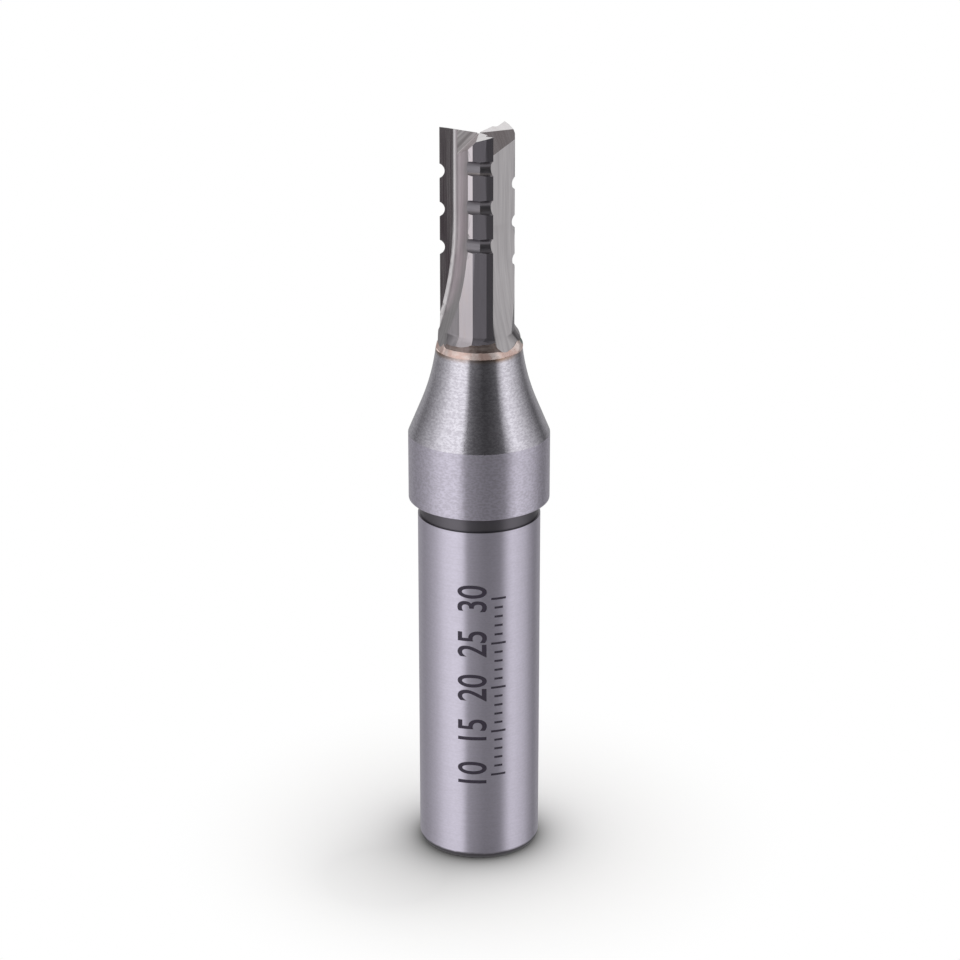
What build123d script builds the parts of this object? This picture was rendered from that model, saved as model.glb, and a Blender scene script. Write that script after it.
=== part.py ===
"""Straight router bit: a brazed carbide head with three ground flutes on a turned steel shank.

Frame: millimetres, +Z up along the tool's axis. The origin is the centre of the shank's end face,
so the bit stands on its shank with the cutting end up. Seen from the tip it cuts turning
anticlockwise, and each tooth's cutting edge is on its anticlockwise side.
"""
from build123d import *
import os
from math import asin, cos, degrees, radians, sin, sqrt, tan

# ---- Shank, collar and cone: one piece turned from steel ---------------------------------------
shank_diameter = 12.7        # half-inch shank, ground for the collet
shank_length = 39.0          # end face to the underside of the collar
shank_end_radius = 0.8       # rounding round the end face
neck_depth = 0.2             # relief groove under the collar, measured on the radius
neck_width = 1.7
collar_step = 0.94           # how far the collar stands out past the shank
collar_height = 7.1
cone_height = 9.05           # collar's upper edge to the mouth of the socket
cone_straight_height = 3.2   # the cone is straight so far, then it flares into the mouth
cone_half_angle = 22.6       # degrees, straight part
mouth_rim = 0.12             # flat ring of steel round the socket

# ---- Socket and braze ---------------------------------------------------------------------------
braze_gap = 0.1              # filler film between the carbide and the steel, on the radius
socket_depth = 14.0          # mouth to the end of the full bore
drill_point_angle = 118.0    # degrees, the cone that the drill leaves at the bottom
braze_fillet_height = 0.65   # ring of filler standing on the mouth
tail_clearance = 0.4         # filler between the head's tail and the end of the full bore
tail_chamfer = 0.5

# ---- Cutting head: one piece ground from carbide ------------------------------------------------
tooth_count = 3
cutting_diameter = 8.0
blank_stock = 0.2            # unground blank stands out past the cutting circle, on the radius
land_length = 20.5           # ground length of the teeth, 20 mm of it full cutting height
bare_band = 2.15             # mouth of the socket to the end of the ground lands
first_edge_angle = -69.54    # degrees from +X to the first tooth's cutting edge

# Lands: each facet is its width and its slope below the tangent at the cutting edge.
land_facets = ((0.67, 11.7), (1.38, 24.8), (1.56, 50.2), (3.2, 62.0))
land_heel = 0.525            # part of the third facet that is left beside a full-depth flute
land_lead = 1.0              # the wheel runs on this far past a land's edges
land_reach = 1.8             # a land's wheel clears all out to this multiple of the facets' distance
first_facet_overrun = 0.12   # the first facet is ground this much further down than the others

# Run-out at the lower end of the lands. Each stage is its depth under the lands' end and how far
# the facets stand out there. The first stage is the print of the wheel's rounded corner.
land_run_out = ((0.2, 0.07), (1.2, 0.77))

# Flutes: a straight stretch from the tip, then the wheel's own curve out to the surface.
rake_angle = 9.57            # degrees ahead of the radius
rake_depth = 1.67            # cutting edge to the corner at the foot of the rake face
flute_corner_radius = 0.5
flute_wheel_radius = 36.5
flute_end_height = 0.36      # the curve leaves the blank this far above the socket's mouth

# Chip breakers: round notches across each land, stepped from tooth to tooth.
notch_count = 3
notch_radius = 0.82
notch_depth = 0.48
notch_first = 3.15           # below the tip, on the first tooth
notch_pitch = 3.93
notch_slopes = (12.0, 37.0)  # degrees below the tangent at the edge, first and second stretch
notch_turn = 19.0            # degrees behind the edge where the second stretch takes over
notch_stretch = 6.0          # length of each of the two stretches, cut from edge to heel

# End teeth: dished and relieved end faces, parted by one gash ahead of each tooth.
dish_angle = 6.3             # degrees, the end edges fall towards the centre
end_relief_angle = 13.8      # degrees, the end faces fall away behind their edges
gash_wall_offset = 0.1       # gash wall ahead of the centre line
gash_angle = 43.5            # degrees, fall of the gash towards the flute
gash_clearance_angle = 19.4  # degrees, rise of the gash towards the next tooth
gash_centre_depth = 0.45     # gash floor below the tip plane, on the axis
centre_relief_radius = 0.24
centre_relief_depth = 0.5

# ---- Derived sizes ------------------------------------------------------------------------------
shank_radius = shank_diameter / 2
collar_radius = shank_radius + collar_step
cutting_radius = cutting_diameter / 2
blank_radius = cutting_radius + blank_stock
socket_radius = blank_radius + braze_gap
mouth_radius = socket_radius + mouth_rim
collar_top = shank_length + collar_height
mouth_height = collar_top + cone_height
socket_floor = mouth_height - socket_depth
drill_point_depth = socket_radius / tan(radians(drill_point_angle / 2))
tail_height = socket_floor + tail_clearance
land_end = mouth_height + bare_band
tip_height = land_end + land_length
tooth_angle = 360.0 / tooth_count
notch_step = notch_pitch / tooth_count
beyond = 2 * blank_radius    # how far a grinding cut reaches past the blank
open_block = 3 * beyond      # edge of a block that stands for the open space outside a cut
overshoot = blank_radius / 4 # how far a cut runs on past an end that it opens


def point_at(radius, angle):
    """Point of the plan at a radius and an angle in degrees from +X."""
    return Vector(radius * cos(radians(angle)), radius * sin(radians(angle)), 0)


def lifted(point, height):
    """The plan point moved up to a height."""
    return Vector(point.X, point.Y, height)


def polygon_at(points, height):
    """Flat face with straight sides through plan points, at a height."""
    corners = [lifted(point, height) for point in points]
    return make_face(Polyline(*corners, close=True))


def above_plane(origin, normal):
    """Block that fills the space on the upper side of a sloping plane."""
    block = Box(open_block, open_block, open_block, align=(Align.CENTER, Align.CENTER, Align.MIN))
    return Plane(origin=origin, z_dir=normal) * block


def turned(profile):
    """Solid of revolution about the tool's axis from a closed profile in the XZ plane."""
    return revolve(make_face(profile), Axis.Z)


# ---- One tooth, with its cutting edge on +X -----------------------------------------------------
def land_line(stand_out=0):
    """Corners of the land's facets in plan, from the cutting edge backwards.

    Each facet stands out from its own place by a distance along its normal.
    """
    corners = [point_at(cutting_radius, 0)]
    normals = []
    for width, slope in land_facets:
        corners.append(corners[-1] + point_at(width, -90 - slope))
        normals.append(point_at(1, -slope))
    before = [normals[0]] + normals
    after = normals + [normals[-1]]
    return [
        corner + (one + other) * (stand_out / (1 + one.dot(other)))
        for corner, one, other in zip(corners, before, after)
    ]


def land_heel_point():
    """Where a full-depth flute meets the third facet of the land."""
    corners = land_line()
    return corners[2] + (corners[3] - corners[2]).normalized() * land_heel


def flute_corner():
    """Corner at the foot of the rake face."""
    return point_at(cutting_radius, 0) - point_at(rake_depth, rake_angle)


def flute_floor_direction():
    """Unit vector along the flute's floor, from the rake corner to the next tooth's heel."""
    next_heel = land_heel_point().rotate(Axis.Z, tooth_angle)
    return (next_heel - flute_corner()).normalized()


def flute_normal():
    """Unit vector out of the flute's floor, away from the axis."""
    along = flute_floor_direction()
    return Vector(along.Y, -along.X, 0)


def wheel_drop(radius):
    """Height over which the wheel's curve lifts the flute's floor from full depth to a radius."""
    lift_share = point_at(1, rake_angle).dot(flute_normal())
    lift = (radius - flute_corner().dot(flute_normal())) / lift_share
    return sqrt(2 * flute_wheel_radius * lift - lift * lift)


def flute_start():
    """Height where the flute's straight stretch ends and the wheel's curve begins."""
    return mouth_height + flute_end_height + wheel_drop(blank_radius)


def flute_cut():
    """Everything that the flute's wheel takes away ahead of one tooth."""
    corner = flute_corner()
    rake = point_at(1, rake_angle)
    rake_top = corner + rake * (rake_depth + beyond)
    floor_end = corner + flute_floor_direction() * beyond
    outer = floor_end + rake * (rake_depth + beyond)
    start = flute_start()
    section = polygon_at((corner, rake_top, outer, floor_end), start)
    sharp = section.vertices().sort_by_distance(lifted(corner, start))[0]
    section = fillet(sharp, flute_corner_radius)
    straight = extrude(section, tip_height + overshoot - start, dir=(0, 0, 1))
    centre = lifted(corner + rake * flute_wheel_radius, start)
    wheel_axis = Axis(centre, rake.cross(Vector(0, 0, 1)))
    swing = degrees(asin(wheel_drop(mouth_radius + overshoot) / flute_wheel_radius))
    return straight + revolve(section, wheel_axis, swing)


def land_section(stand_out, height, first_only):
    """Section of a land's grind: outside all its facets, or outside the first one alone."""
    corners = land_line(stand_out)
    lead = (corners[0] - corners[1]).normalized() * land_lead
    far_end = [corners[1] - lead] if first_only else corners[1:]
    inner = [corners[0] + lead] + far_end
    outer = [corner * land_reach for corner in reversed(inner)]
    return polygon_at(inner + outer, height)


def relief_cut(lower_end, first_only):
    """Space outside a land's facets down to a height, with the sloping run-out under it."""
    upper = land_section(0, lower_end, first_only)
    cut = extrude(upper, tip_height + overshoot - lower_end, dir=(0, 0, 1))
    for depth, stand_out in land_run_out:
        lower = land_section(stand_out, lower_end - depth, first_only)
        cut += loft([lower, upper], ruled=True)
        upper = lower
    return cut


def land_cut():
    """Both grinds of one land: all its facets, then the first facet alone a little further down."""
    return relief_cut(land_end, False) + relief_cut(land_end - first_facet_overrun, True)


def notch_cut(depth_below_tip):
    """One chip breaker: two round grooves in line, the second sloping more than the first."""
    first_slope, second_slope = notch_slopes
    first_distance = (cutting_radius - notch_depth) * cos(radians(first_slope))
    turn_radius = first_distance / cos(radians(notch_turn - first_slope))
    second_distance = turn_radius * cos(radians(second_slope - notch_turn))
    groove = None
    for slope, distance in ((first_slope, first_distance), (second_slope, second_distance)):
        middle = lifted(point_at(distance + notch_radius, -slope), tip_height - depth_below_tip)
        place = Plane(origin=middle, z_dir=point_at(1, -slope - 90))
        stretch = place * Cylinder(notch_radius, notch_stretch)
        groove = stretch if groove is None else groove + stretch
    return groove


def gash_cut():
    """End gash ahead of one tooth: an upright wall beside the end edge and a sloping floor."""
    fall = flute_normal() * tan(radians(gash_angle))
    rise = flute_floor_direction() * tan(radians(gash_clearance_angle))
    floor_normal = fall - rise + Vector(0, 0, 1)
    above_floor = above_plane((0, 0, tip_height - gash_centre_depth), floor_normal)
    ahead = Pos(0, gash_wall_offset, tip_height) * Box(
        open_block, open_block, open_block, align=(Align.CENTER, Align.MIN, Align.CENTER)
    )
    return above_floor & ahead


def end_face_cut():
    """Dished and relieved end face behind one end edge, back to the gash behind it."""
    slope = Vector(-tan(radians(dish_angle)), -tan(radians(end_relief_angle)), 1)
    above_face = above_plane((cutting_radius, 0, tip_height), slope)
    apex_distance = gash_wall_offset / sin(radians(tooth_angle / 2))
    apex = point_at(apex_distance, 90 - tooth_angle / 2)
    sector = polygon_at(
        (
            apex,
            apex + point_at(open_block, 0),
            apex + point_at(open_block, -tooth_angle / 2),
            apex + point_at(open_block, -tooth_angle),
        ),
        tip_height - blank_radius,
    )
    return above_face & extrude(sector, beyond, dir=(0, 0, 1))


def on_tooth(cut, tooth):
    """A cut made for the tooth on +X, turned to its own tooth."""
    return Rot(0, 0, first_edge_angle + tooth * tooth_angle) * cut


# ---- Pieces -------------------------------------------------------------------------------------
def make_flutes():
    """One cutting solid for the flute ahead of each tooth."""
    return [on_tooth(flute_cut(), tooth) for tooth in range(tooth_count)]


def make_steel_shank():
    """Shank, relief neck, collar, flared cone and the socket for the head."""
    neck_radius = shank_radius - neck_depth
    neck_bottom = shank_length - neck_width
    cone_slope = tan(radians(cone_half_angle))
    flare_radius = collar_radius - cone_straight_height * cone_slope
    flare_start = (flare_radius, 0, collar_top + cone_straight_height)
    lower = Polyline(
        (0, 0, socket_floor - drill_point_depth),
        (0, 0, 0),
        (shank_radius, 0, 0),
        (shank_radius, 0, neck_bottom),
        (neck_radius, 0, neck_bottom),
        (neck_radius, 0, shank_length),
        (collar_radius, 0, shank_length),
        (collar_radius, 0, collar_top),
        flare_start,
    )
    flare = TangentArc(flare_start, (mouth_radius, 0, mouth_height), tangent=(-cone_slope, 0, 1))
    upper = Polyline(
        (mouth_radius, 0, mouth_height),
        (socket_radius, 0, mouth_height),
        (socket_radius, 0, socket_floor),
        (0, 0, socket_floor - drill_point_depth),
    )
    shank = turned([lower, flare, upper])
    end_edge = shank.edges().filter_by(GeomType.CIRCLE).sort_by(Axis.Z)[0]
    return fillet(end_edge, shank_end_radius)


def make_cutting_head(flutes):
    """Carbide spigot and cutter, ground in the order: flutes, lands, notches, end teeth."""
    length = tip_height - tail_height
    head = Pos(0, 0, tail_height) * Cylinder(
        blank_radius, length, align=(Align.CENTER, Align.CENTER, Align.MIN)
    )
    tail_edge = head.edges().filter_by(GeomType.CIRCLE).sort_by(Axis.Z)[0]
    head = chamfer(tail_edge, tail_chamfer)
    for flute in flutes:
        head -= flute
    for tooth in range(tooth_count):
        head -= on_tooth(land_cut(), tooth)
        for notch in range(notch_count):
            depth = notch_first + tooth_order(tooth) * notch_step + notch * notch_pitch
            head -= on_tooth(notch_cut(depth), tooth)
        head -= on_tooth(gash_cut(), tooth)
        head -= on_tooth(end_face_cut(), tooth)
    relief = Cylinder(
        centre_relief_radius,
        centre_relief_depth + overshoot,
        align=(Align.CENTER, Align.CENTER, Align.MIN),
    )
    return head - Pos(0, 0, tip_height - centre_relief_depth) * relief


def tooth_order(tooth):
    """Place of a tooth in the stepping of its notches, which climbs against the rotation."""
    return (tooth_count - tooth) % tooth_count


def make_braze_joint(flutes):
    """Filler round and under the spigot, with the ring that stands on the socket's mouth."""
    ring_top = mouth_height + braze_fillet_height
    outside = turned(
        Polyline(
            (0, 0, socket_floor - drill_point_depth),
            (socket_radius, 0, socket_floor),
            (socket_radius, 0, mouth_height),
            (mouth_radius, 0, mouth_height),
            (blank_radius, 0, ring_top),
            (0, 0, ring_top),
            close=True,
        )
    )
    inside = turned(
        Polyline(
            (0, 0, tail_height),
            (blank_radius - tail_chamfer, 0, tail_height),
            (blank_radius, 0, tail_height + tail_chamfer),
            (blank_radius, 0, ring_top + overshoot),
            (0, 0, ring_top + overshoot),
            close=True,
        )
    )
    joint = outside - inside
    for flute in flutes:
        joint -= flute
    return joint


os.makedirs("parts", exist_ok=True)
all_flutes = make_flutes()
pieces = {
    "steel_shank": make_steel_shank(),
    "cutting_head": make_cutting_head(all_flutes),
    "braze_joint": make_braze_joint(all_flutes),
}
for name, piece in pieces.items():
    piece.label = name
    export_step(piece, f"parts/{name}.step")
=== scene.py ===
"""Dresses a brazed router bit: satin steel shank, ground carbide head and braze bead.

The bit stands on the end of its shank on a pale studio floor. Sizes are in millimetres, in the
part's own frame: +Z up along the tool's axis, with the origin at the centre of the shank's end.
"""
import logging
import math
from dataclasses import dataclass, field
from enum import Enum
from typing import Sequence, Union

import bmesh
import bpy
from mathutils import Matrix, Vector, noise


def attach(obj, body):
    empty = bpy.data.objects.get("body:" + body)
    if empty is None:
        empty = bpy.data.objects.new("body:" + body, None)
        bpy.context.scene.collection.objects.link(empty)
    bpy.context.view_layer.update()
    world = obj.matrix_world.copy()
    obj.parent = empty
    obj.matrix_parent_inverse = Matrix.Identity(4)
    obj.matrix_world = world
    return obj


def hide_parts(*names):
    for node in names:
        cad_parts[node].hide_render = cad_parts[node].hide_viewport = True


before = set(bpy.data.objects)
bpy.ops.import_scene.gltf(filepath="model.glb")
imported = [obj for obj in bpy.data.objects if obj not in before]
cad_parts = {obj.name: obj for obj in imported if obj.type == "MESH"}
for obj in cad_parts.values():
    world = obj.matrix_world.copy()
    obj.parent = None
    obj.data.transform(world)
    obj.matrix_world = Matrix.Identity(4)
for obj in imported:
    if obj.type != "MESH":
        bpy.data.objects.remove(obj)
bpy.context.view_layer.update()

MM = 0.001                     # metres in one millimetre
PER_MM = 1.0 / MM
MERGE_DISTANCE = 1e-4          # mm, points closer than this are one point
TOUCHING = 1e-3                # mm, a point this close to a corner lies on it
NEAR_ZERO = 1e-6               # a direction shorter than this points nowhere
BODY = "root"                  # the bit is rigid: every piece rides on one body

Socket = bpy.types.NodeSocket
Value = Union[float, Sequence[float], Socket]
Colour = tuple[float, float, float]
Cells = tuple[float, float, float]     # cells of a noise in one unit along each axis
Limits = tuple[float, float]           # where something starts and where it ends

log = logging.getLogger("router_bit")


class Slot(Enum):
    """Material slots of the part's record."""

    STEEL = "turned_steel"
    CARBIDE = "ground_carbide"
    BRAZE = "braze_filler"


class Region(Enum):
    """Surfaces of the cutting head, by the grind that made them."""

    BLANK = 0
    LAND = 1
    BACK = 2
    HEEL = 3
    FLUTE = 4
    RAKE = 5
    NOTCH = 6
    GASH = 7
    GASH_WALL = 8
    END_FACE = 9


# ---- Shader nodes -------------------------------------------------------------------------------
class ShaderGraph:
    """Adds nodes to one material's or world's tree and wires them by their outputs."""

    def __init__(self, tree: bpy.types.NodeTree) -> None:
        """Empties the tree.

        Args:
            tree: Node tree of a material or a world.
        """
        self.tree = tree
        tree.nodes.clear()

    def node(
        self, kind: str, inputs: dict[Union[str, int], Value] | None = None, **settings: object
    ) -> bpy.types.Node:
        """Adds one node.

        Args:
            kind: Blender's identifier of the node's type.
            inputs: Socket name or number to a constant or another node's output.
            **settings: Properties of the node itself.

        Returns:
            The new node.
        """
        made = self.tree.nodes.new(kind)
        for name, value in settings.items():
            setattr(made, name, value)
        for socket, value in (inputs or {}).items():
            self.feed(made.inputs[socket], value)
        return made

    def feed(self, socket: Socket, value: Value) -> None:
        """Sets a socket to a constant, or links another node's output to it.

        Args:
            socket: Input to fill.
            value: Number, tuple or output socket.
        """
        if isinstance(value, Socket):
            self.tree.links.new(value, socket)
        elif socket.type == "RGBA" and len(value) == 3:
            socket.default_value = (*value, 1.0)
        else:
            socket.default_value = value

    def math(self, operation: str, first: Value, second: Value = 0.0, clamp: bool = False) -> Socket:
        """Result of a Math node.

        Args:
            operation: Name of the operation.
            first: First operand.
            second: Second operand, where there is one.
            clamp: Whether the result stays between 0 and 1.

        Returns:
            The output socket.
        """
        made = self.node("ShaderNodeMath", {0: first, 1: second}, operation=operation, use_clamp=clamp)
        return made.outputs[0]

    def blend(self, share: Value, first: Value, second: Value) -> Socket:
        """Value between two values.

        Args:
            share: 0 gives the first value and 1 the second.
            first: Value at a share of 0.
            second: Value at a share of 1.

        Returns:
            The output socket.
        """
        made = self.node("ShaderNodeMix", {"Factor": share, 2: first, 3: second}, data_type="FLOAT")
        return made.outputs[0]

    def tint(self, share: Value, first: Value, second: Value, mode: str = "MIX") -> Socket:
        """Colour between two colours.

        Args:
            share: 0 gives the first colour and 1 the second.
            first: Colour at a share of 0.
            second: Colour at a share of 1.
            mode: Blending mode.

        Returns:
            The output socket.
        """
        made = self.node("ShaderNodeMix", {"Factor": share}, data_type="RGBA", blend_type=mode)
        self.feed(made.inputs[6], first)
        self.feed(made.inputs[7], second)
        return made.outputs[2]

    def step(
        self, value: Value, low: float, high: float, at_low: float = 0.0, at_high: float = 1.0
    ) -> Socket:
        """Smooth step from one level to another.

        Args:
            value: What is stepped.
            low: Where the step starts.
            high: Where it ends.
            at_low: Level before the step.
            at_high: Level after it.

        Returns:
            The output socket.
        """
        limits = {"Value": value, "From Min": low, "From Max": high, "To Min": at_low, "To Max": at_high}
        return self.node("ShaderNodeMapRange", limits, interpolation_type="SMOOTHSTEP").outputs[0]

    def place(self) -> Socket:
        """Coordinates of the piece or the floor, in metres."""
        return self.node("ShaderNodeTexCoord").outputs["Object"]

    def distance(self, place: Value, point: Sequence[float]) -> Socket:
        """Distance from a point.

        Args:
            place: Coordinates, in metres.
            point: The point, in millimetres.

        Returns:
            The distance's output socket, in millimetres.
        """
        middle = Vector(point) * MM
        away = self.node("ShaderNodeVectorMath", {0: place, 1: middle}, operation="DISTANCE")
        return self.math("MULTIPLY", away.outputs["Value"], PER_MM)

    def stretched(self, vector: Value, scale: Sequence[float]) -> Socket:
        """Coordinates multiplied along each axis.

        Args:
            vector: Coordinates to stretch.
            scale: Factor for each axis.

        Returns:
            The output socket.
        """
        return self.node("ShaderNodeMapping", {"Vector": vector, "Scale": scale}).outputs[0]

    def grain(
        self, vector: Value, scale: float = 1.0, detail: float = 2.0, roughness: float = 0.5
    ) -> Socket:
        """Noise from 0 to 1.

        Args:
            vector: Coordinates that the noise follows.
            scale: Cells in one unit of them.
            detail: Octaves of finer noise.
            roughness: Strength of those octaves.

        Returns:
            The output socket.
        """
        settings = {"Vector": vector, "Scale": scale, "Detail": detail, "Roughness": roughness}
        return self.node("ShaderNodeTexNoise", settings).outputs["Fac"]

    def relief(self, height: Value, distance: float, under: Socket | None = None) -> Socket:
        """Normal bent by a height.

        Args:
            height: Height as a share of the distance.
            distance: Full height, in metres.
            under: Normal that this relief lies on.

        Returns:
            The normal's output socket.
        """
        made = self.node("ShaderNodeBump", {"Strength": 1.0, "Distance": distance, "Height": height})
        if under is not None:
            self.feed(made.inputs["Normal"], under)
        return made.outputs["Normal"]


def new_material(name: str) -> tuple[bpy.types.Material, ShaderGraph]:
    """Empty material with its graph.

    Args:
        name: Name of the material.

    Returns:
        The material and the graph of its nodes.
    """
    material = bpy.data.materials.new(name)
    material.use_nodes = True
    return material, ShaderGraph(material.node_tree)


def close_surface(graph: ShaderGraph, inputs: dict[str, Value]) -> None:
    """Ends a graph with a Principled surface.

    Args:
        graph: Graph to end.
        inputs: Socket names of the shader to their values.
    """
    surface = graph.node("ShaderNodeBsdfPrincipled", inputs)
    graph.node("ShaderNodeOutputMaterial", {"Surface": surface.outputs[0]})


# ---- Finishes -----------------------------------------------------------------------------------
@dataclass(frozen=True)
class SteelPattern:
    """Masks and noises of the turned piece, as outputs of its shader graph."""

    height: Socket                     # mm above the shank's end
    cone: Socket                       # 1 on the cone
    collar: Socket                     # 1 on the collar and the cone
    foot: Socket                       # 1 on the rounded end
    black: Socket                      # 1 on the neck's black scale and on the rounded end's painted shade
    lines: Socket                      # turning lines, round the axis
    grain: Socket                      # fine grain of the hardened skin
    clouds: Socket                     # broad, faint patches


@dataclass(frozen=True)
class SteelFinish:
    """Hardened steel: ground shank, grainy collar, turned cone, black scale on the neck where no wheel
    reached, painted shade on the rounded end.
    """

    ground: Colour = (0.718, 0.678, 0.80)
    turned: Colour = (0.89, 0.865, 0.945)
    scale: Colour = (0.165, 0.155, 0.175)
    # Painted shade on the rounded end, which faces the shadowed floor by the base.
    foot_scale: Colour = (0.115, 0.108, 0.122)
    heat_tint: Colour = (0.42, 0.28, 0.20)
    speckle: Colour = (0.42, 0.39, 0.45)
    cloud: Colour = (0.56, 0.52, 0.60)
    speckle_share: float = 0.42        # how far the grain darkens the turned surfaces
    ground_speckle_share: float = 0.13
    line_share: float = 0.20           # how far the turning lines darken the cone
    ground_line_share: float = 0.4     # how much of that is left under the cone
    cloud_share: float = 0.10          # how far the clouds tint the steel

    ground_roughness: float = 0.30
    collar_roughness: float = 0.30
    turned_roughness: float = 0.18
    scale_roughness: float = 0.36
    roughness_swing: float = 0.10      # how far the lines take it up and down
    ground_haze: float = 0.11          # share of light that the ground surface scatters evenly
    anisotropy: float = 0.72
    across_the_lines: float = 0.25     # the gloss spreads along the axis, across the lines

    line_pitch: float = 0.20           # mm between turning lines
    line_spread: float = 260.0         # cells of the lines in one metre along X and Y
    line_limits: Limits = (0.38, 0.66)     # levels of the lines, from bare steel to dark
    line_depth: float = 0.0012         # mm
    ground_line_depth: float = 0.35    # share of that depth under the cone
    grain_size: float = 0.19           # mm
    grain_across: float = 0.6          # cells of the grain across the axis for each one along it
    grain_limits: Limits = (0.35, 0.65)    # levels of the grain, from bare steel to dark
    grain_depth: float = 0.006         # mm
    grain_fade: float = 7.0            # mm up the cone, where the grain's relief ends
    cloud_cells: Cells = (180.0, 180.0, 60.0)      # in one metre
    wear_cells: Cells = (900.0, 900.0, 2500.0)     # in one metre, of the noise that makes the edge of the foot's painted shade wander
    foot_wear: float = 0.25            # mm by which that edge wanders
    foot_limits: Limits = (0.92, 1.3)  # heights where the foot's painted shade ends, by the end's radius
    heat_limits: Limits = (0.55, 0.05)     # mm under the mouth, where the heat tint starts and is whole
    heat_patches: Limits = (0.35, 0.65)    # levels of the clouds, from none of that tint to all
    edge: float = 0.06                 # mm, how softly one zone gives way to the next

    def pattern(self, graph: ShaderGraph, shank: "SteelShank") -> SteelPattern:
        """Parts the piece into its zones and lays out its noises.

        Args:
            graph: Graph of the material.
            shank: The piece, whose heights part the zones.

        Returns:
            The masks and noises.
        """
        place = graph.place()
        parts = graph.node("ShaderNodeSeparateXYZ", {0: place}).outputs
        height = graph.math("MULTIPLY", parts["Z"], PER_MM)
        cone = graph.step(height, shank.collar_top - self.edge, shank.collar_top + self.edge)
        collar = graph.step(height, shank.shank_length - self.edge, shank.shank_length + self.edge)
        neck = graph.step(height, shank.neck_bottom - self.edge, shank.neck_bottom)
        neck = graph.math("SUBTRACT", neck, collar, clamp=True)
        # Painted shade on the rounded end, with a wandering upper edge.
        foot_edge_noise = graph.grain(graph.stretched(place, self.wear_cells), detail=3.0)
        wandering_height = graph.math("ADD", height, graph.math("MULTIPLY", foot_edge_noise, self.foot_wear))
        foot_from, foot_to = (share * shank.end_radius for share in self.foot_limits)
        foot = graph.step(wandering_height, foot_from, foot_to, 1.0, 0.0)
        line_cells = (self.line_spread, self.line_spread, PER_MM / self.line_pitch)
        grain_rate = PER_MM / self.grain_size
        grain_cells = (grain_rate * self.grain_across, grain_rate * self.grain_across, grain_rate)
        return SteelPattern(
            height=height,
            cone=cone,
            collar=collar,
            foot=foot,
            black=graph.math("MAXIMUM", neck, foot),
            lines=graph.grain(graph.stretched(place, line_cells), detail=3.0, roughness=0.6),
            grain=graph.grain(graph.stretched(place, grain_cells), detail=1.5),
            clouds=graph.grain(graph.stretched(place, self.cloud_cells), detail=2.0),
        )

    def colour(self, graph: ShaderGraph, pattern: SteelPattern, shank: "SteelShank") -> Socket:
        """Colour of the bare steel, with its clouds, grain, lines, heat tint, the neck's scale and
        painted shade on the rounded end.

        Args:
            graph: Graph of the material.
            pattern: Masks and noises.
            shank: The piece, whose mouth the heat tint lies under.

        Returns:
            The colour's output socket.
        """
        colour = graph.tint(pattern.cone, self.ground, self.turned)
        colour = graph.tint(graph.math("MULTIPLY", pattern.clouds, self.cloud_share), colour, self.cloud)
        flecks = graph.blend(pattern.collar, self.ground_speckle_share, self.speckle_share)
        flecks = graph.math("MULTIPLY", graph.step(pattern.grain, *self.grain_limits), flecks)
        colour = graph.tint(flecks, colour, self.speckle)
        ridges = graph.blend(pattern.cone, self.ground_line_share, 1.0)
        ridges = graph.math("MULTIPLY", graph.step(pattern.lines, *self.line_limits), ridges)
        colour = graph.tint(graph.math("MULTIPLY", ridges, self.line_share), colour, self.speckle)
        heat_from, heat_to = (shank.mouth_height - below for below in self.heat_limits)
        heat = graph.step(pattern.height, heat_from, heat_to)
        heat = graph.math("MULTIPLY", heat, graph.step(pattern.clouds, *self.heat_patches))
        colour = graph.tint(heat, colour, self.heat_tint)
        # The neck takes its black scale, and the rounded end takes painted shade.
        return graph.tint(pattern.black, colour, graph.tint(pattern.foot, self.scale, self.foot_scale))

    def roughness(self, graph: ShaderGraph, pattern: SteelPattern) -> Socket:
        """Roughness of each zone, uneven with the lines.

        Args:
            graph: Graph of the material.
            pattern: Masks and noises.

        Returns:
            The roughness's output socket.
        """
        rough = graph.blend(pattern.collar, self.ground_roughness, self.collar_roughness)
        rough = graph.blend(pattern.cone, rough, self.turned_roughness)
        rough = graph.blend(pattern.black, rough, self.scale_roughness)
        swing = graph.math("MULTIPLY", graph.math("SUBTRACT", pattern.lines, 0.5), self.roughness_swing)
        return graph.math("ADD", rough, swing)

    def relief(self, graph: ShaderGraph, pattern: SteelPattern, shank: "SteelShank") -> Socket:
        """Relief of the turning lines, and of the grain from the collar up.

        Args:
            graph: Graph of the material.
            pattern: Masks and noises.
            shank: The piece, whose cone the grain's relief fades on.

        Returns:
            The normal's output socket.
        """
        depth = graph.blend(pattern.cone, self.ground_line_depth, 1.0)
        normal = graph.relief(graph.math("MULTIPLY", pattern.lines, depth), self.line_depth * MM)
        faded = graph.step(pattern.height, shank.collar_top, shank.collar_top + self.grain_fade)
        grainy = graph.math("SUBTRACT", pattern.collar, faded, clamp=True)
        return graph.relief(graph.math("MULTIPLY", pattern.grain, grainy), self.grain_depth * MM, normal)

    def material(self, shank: "SteelShank") -> bpy.types.Material:
        """Material for the whole turned piece.

        Args:
            shank: The piece.

        Returns:
            The material.
        """
        made, graph = new_material(Slot.STEEL.value)
        pattern = self.pattern(graph, shank)
        close_surface(
            graph,
            {
                "Base Color": self.colour(graph, pattern, shank),
                "Metallic": graph.blend(pattern.cone, 1.0 - self.ground_haze, 1.0),
                "Roughness": self.roughness(graph, pattern),
                "Anisotropic": self.anisotropy,
                "Anisotropic Rotation": self.across_the_lines,
                "Tangent": graph.node("ShaderNodeTangent", direction_type="RADIAL", axis="Z").outputs[0],
                "Normal": self.relief(graph, pattern, shank),
            },
        )
        return made


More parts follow.
